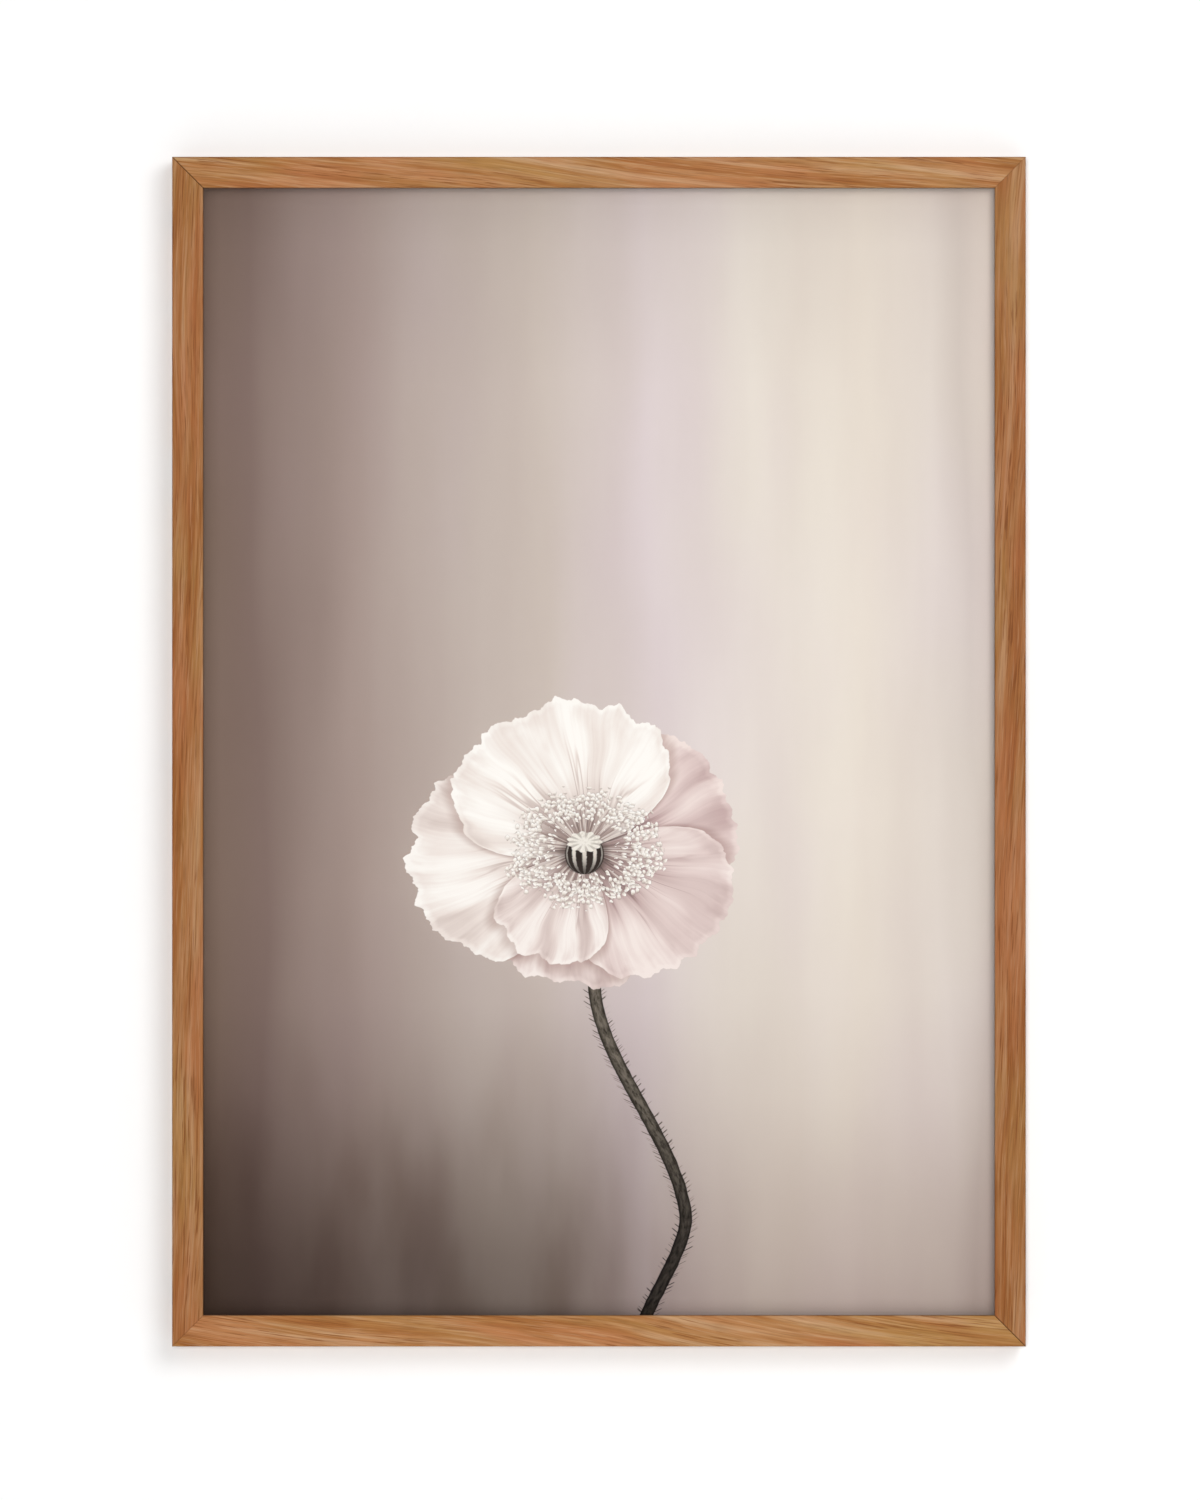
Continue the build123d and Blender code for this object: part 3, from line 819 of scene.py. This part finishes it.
def pod(tree, x, z, colour):
    """The seed pod: a dark ribbed cup under a pale lid."""
    up = calc(tree, "DIVIDE", calc(tree, "SUBTRACT", z, CUP_UP), CUP_HIGH)
    level = calc(tree, "ABSOLUTE", up)
    wide = calc(tree, "SUBTRACT", 1.0, calc(tree, "MULTIPLY", up, up))
    wide = calc(tree, "SQRT", calc(tree, "MAXIMUM", wide, 0.001))
    meridian = calc(tree, "DIVIDE", x, calc(tree, "MULTIPLY", wide, CUP_WIDE))
    beside = calc(tree, "ABSOLUTE", meridian)
    body = mask_over(tree, calc(tree, "MULTIPLY", calc(tree, "SUBTRACT", 1.0, beside), 5.0))
    body = calc(tree, "MULTIPLY", body, calc(tree, "LESS_THAN", level, 1.0))
    inside = calc(tree, "MINIMUM", calc(tree, "MAXIMUM", meridian, -1.0), 1.0)
    rib = calc(tree, "COSINE", calc(tree, "MULTIPLY", calc(tree, "ARCSINE", inside), RAYS))
    rough = noise(tree, join_xyz(tree, x, z, 2.0), scale=0.9, detail=3.0)
    rib = calc(tree, "ADD", rib, calc(tree, "MULTIPLY_ADD", rough, 1.2, -0.6))
    facing = calc(tree, "SQRT", calc(tree, "SUBTRACT", 1.0, calc(tree, "MULTIPLY", inside, inside)))
    ridge = calc(tree, "MULTIPLY", fade(tree, rib, 0.0, 0.8), fade(tree, facing, 0.15, 0.8))
    ridge = calc(tree, "MULTIPLY", ridge, fade(tree, up, -0.95, 0.1, 0.12, 1.0))
    painted = blend(tree, ridge, lit(52, 43, 40), lit(224, 216, 205))
    shadow = calc(tree, "MULTIPLY", fade(tree, beside, 1.0, 1.5, 0.55, 0.0), fade(tree, level, 1.05, 0.8))
    colour = blend(tree, body, blend(tree, shadow, colour, lit(78, 64, 60)), painted)
    return lid(tree, x, z, rough, colour)


def lid(tree, x, z, rough, colour):
    """The pod's pale scalloped lid, with a darker ray where two scallops meet."""
    around, out = about(tree, x, z, LID_WIDE, LID_HIGH, LID_UP)
    scallop = calc(tree, "COSINE", calc(tree, "MULTIPLY", around, RAYS))
    edge = calc(tree, "MULTIPLY_ADD", scallop, 0.07, 0.93)
    mask = mask_over(tree, calc(tree, "MULTIPLY", calc(tree, "SUBTRACT", edge, out), 6.0))
    ray = calc(tree, "MULTIPLY", fade(tree, scallop, 0.1, -0.7), fade(tree, out, 0.2, 0.6))
    painted = blend(tree, calc(tree, "MULTIPLY", ray, 0.55), lit(240, 235, 226), lit(150, 136, 126))
    painted = blend(tree, fade(tree, rough, 0.45, 0.7, 0.0, 0.5), painted, lit(206, 196, 184))
    return blend(tree, mask, colour, painted)


# ---------------------------------------------------------------- the picture's stem
# The stem leans out over one stretch and back over the next: from and to which height, and from and to how
# far to the side
STEM_OUT = (-66.0, -196.0, 5.0, 53.0)
STEM_BACK = (-186.0, -262.0, 0.0, 26.0)
# The height at which the petals hide it, its half width and how much bumps add to that
STEM_TOP = -59.0
STEM_HALF, STEM_BUMPS = 2.75, 1.1


def stem_middle(tree, height):
    """How far to the side the stem is at a height."""
    return calc(tree, "SUBTRACT", fade(tree, height, *STEM_OUT), fade(tree, height, *STEM_BACK))


def stem(tree, x, z, colour):
    """A bristly stem in a long easy curve, dark at its foot."""
    above = stem_middle(tree, calc(tree, "ADD", z, 0.5))
    slope = calc(tree, "SUBTRACT", above, stem_middle(tree, calc(tree, "SUBTRACT", z, 0.5)))
    slant = calc(tree, "SQRT", calc(tree, "MULTIPLY_ADD", slope, slope, 1.0))
    off = calc(tree, "DIVIDE", calc(tree, "SUBTRACT", x, stem_middle(tree, z)), slant)
    side = calc(tree, "SIGN", off)
    bumps = noise(tree, join_xyz(tree, side, calc(tree, "MULTIPLY", z, 0.16), 4.0), detail=3.0)
    half = calc(tree, "MULTIPLY_ADD", bumps, STEM_BUMPS, STEM_HALF)
    beyond = calc(tree, "SUBTRACT", calc(tree, "ABSOLUTE", off), half)
    below = fade(tree, z, STEM_TOP + 1, STEM_TOP - 1)
    deep = fade(tree, z, -90.0, -225.0)
    hair = calc(tree, "MULTIPLY", bristles(tree, side, beyond, z), below)
    hair_colour = blend(tree, deep, lit(84, 74, 66), lit(40, 32, 30))
    colour = blend(tree, calc(tree, "MULTIPLY", hair, 0.85), colour, hair_colour)
    mask = calc(tree, "MULTIPLY", mask_over(tree, calc(tree, "MULTIPLY", beyond, -1.0)), below)
    return blend(tree, mask, colour, stem_skin(tree, off, half, z, deep))


def bristles(tree, side, beyond, z):
    """Fine hairs that stand off both edges of the stem and rise a little."""
    rise = calc(tree, "SUBTRACT", z, calc(tree, "MULTIPLY", beyond, 0.7))
    tuft = join_xyz(tree, calc(tree, "MULTIPLY", side, 5.0), calc(tree, "MULTIPLY", rise, 0.95), 9.0)
    tuft = fade(tree, noise(tree, tuft, detail=2.0), 0.54, 0.60)
    reach = noise(tree, join_xyz(tree, side, calc(tree, "MULTIPLY", z, 0.3), 1.0), detail=1.0)
    reach = calc(tree, "MULTIPLY_ADD", reach, 5.0, 0.1)
    hair = calc(tree, "MULTIPLY", tuft, fade(tree, calc(tree, "SUBTRACT", beyond, reach), 0.3, -0.9))
    return calc(tree, "MULTIPLY", hair, calc(tree, "GREATER_THAN", beyond, -0.4))


def stem_skin(tree, off, half, z, deep):
    """The stem's mottled skin, lit along its middle and darker lower down."""
    bend = calc(tree, "ABSOLUTE", calc(tree, "SUBTRACT", calc(tree, "DIVIDE", off, half), 0.05))
    mottle = join_xyz(tree, calc(tree, "MULTIPLY", off, 0.6), calc(tree, "MULTIPLY", z, 0.22), 6.0)
    mottle = noise(tree, mottle, detail=4.0, roughness=0.65)
    light = calc(tree, "MULTIPLY", fade(tree, bend, 1.0, 0.35), fade(tree, mottle, 0.30, 0.66))
    high = blend(tree, light, lit(50, 45, 38), lit(122, 113, 102))
    low = blend(tree, light, lit(22, 17, 16), lit(58, 52, 46))
    return blend(tree, deep, high, low)


# ---------------------------------------------------------------- the sheet
# The paper's thickness, how far its front stands behind the glass and how deep it is cockled, and the cells
# that its mesh has across and up
PAPER = 0.15 * MM
COCKLE_STAND, COCKLE_DEPTH = 0.07 * MM, 0.03 * MM
CELLS_ACROSS, CELLS_UP = 30, 42


def picture():
    """The printed side: the poppy over its ground, with the paper's faint tooth."""
    made, tree, shader = new_material("picture")
    point, x, _, z = place_of(tree)
    local_x = calc(tree, "SUBTRACT", x, CENTRE.x / MM + FLOWER.x)
    local_z = calc(tree, "SUBTRACT", z, CENTRE.z / MM + FLOWER.z)
    colour = stem(tree, local_x, local_z, ground(tree, point, x, z))
    petal_x = calc(tree, "DIVIDE", local_x, PETALS_WIDE)
    petals, cover = lay_petals(tree, petal_x, calc(tree, "DIVIDE", local_z, PETALS_HIGH))
    petals = pod(tree, local_x, local_z, stamens(tree, local_x, local_z, petals))
    colour = blend(tree, cover, colour, petals)
    tooth = noise(tree, stretch(tree, point, (3.0, 3.0, 3.0)), detail=2.0)
    fleck = ramp(tree, tooth, ((0.3, (0.985, 0.985, 0.985)), (0.7, (1.012, 1.012, 1.012))))
    tree.links.new(blend(tree, 1.0, colour, fleck, "MULTIPLY"), shader.inputs["Base Color"])
    paper_finish(shader)
    bump(tree, shader, tooth, 0.06, 0.05 * MM)
    return made


def paper():
    """The unprinted side and the edges."""
    made, tree, shader = new_material("art_paper")
    point, *_ = place_of(tree)
    tooth = noise(tree, stretch(tree, point, (2.0, 2.0, 2.0)), detail=3.0)
    colour = ramp(tree, tooth, ((0.3, lit(236, 232, 224)), (0.7, lit(244, 241, 234))))
    tree.links.new(colour, shader.inputs["Base Color"])
    paper_finish(shader)
    bump(tree, shader, tooth, 0.15, 0.05 * MM)
    return made


def cockle(x, z):
    """Where the front of the sheet is at a point: the damp in the air has cockled it a little."""
    wave = math.sin(31 * x + 4 * z) * math.sin(17 * z + 1) + 0.6 * math.sin(12 * x - 23 * z + 2)
    return SHEET_LOW.y + COCKLE_STAND + COCKLE_DEPTH * wave


def make_sheet():
    """The paper as a closed sheet just behind the glass, with the picture on its front."""
    wide, high = SHEET_HIGH.x - SHEET_LOW.x, SHEET_HIGH.z - SHEET_LOW.z
    row = CELLS_ACROSS + 1
    one_side = row * (CELLS_UP + 1)
    points = []
    for number in range(one_side):
        up, across = divmod(number, row)
        x, z = SHEET_LOW.x + wide * across / CELLS_ACROSS, SHEET_LOW.z + high * up / CELLS_UP
        points.append((x, cockle(x, z), z))
    points += [(x, y + PAPER, z) for x, y, z in points]
    cells = [up * row + across for up in range(CELLS_UP) for across in range(CELLS_ACROSS)]
    front = [(a, a + 1, a + row + 1, a + row) for a in cells]
    back = [tuple(one_side + a for a in reversed(face)) for face in front]
    rim = [*range(CELLS_ACROSS), *range(CELLS_ACROSS, one_side - 1, row)]
    rim += [*range(one_side - 1, one_side - row, -1), *range(one_side - row, 0, -row)]
    edge = [(b, a, one_side + a, one_side + b) for a, b in zip(rim, rim[1:] + rim[:1])]
    mesh = bpy.data.meshes.new("print_sheet")
    mesh.from_pydata(points, [], front + back + edge)
    mesh.materials.append(picture())
    mesh.materials.append(paper())
    for number, face in enumerate(mesh.polygons):
        face.material_index = 0 if number < len(front) else 1
        face.use_smooth = number < 2 * len(front)
    sheet = bpy.data.objects.new("print_sheet", mesh)
    bpy.context.scene.collection.objects.link(sheet)
    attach(sheet, "frame")
    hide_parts("art_print")


# ---------------------------------------------------------------- build
make_camera()
make_stage()
make_light()
dress_timber()
dress_hardware()
make_sheet()
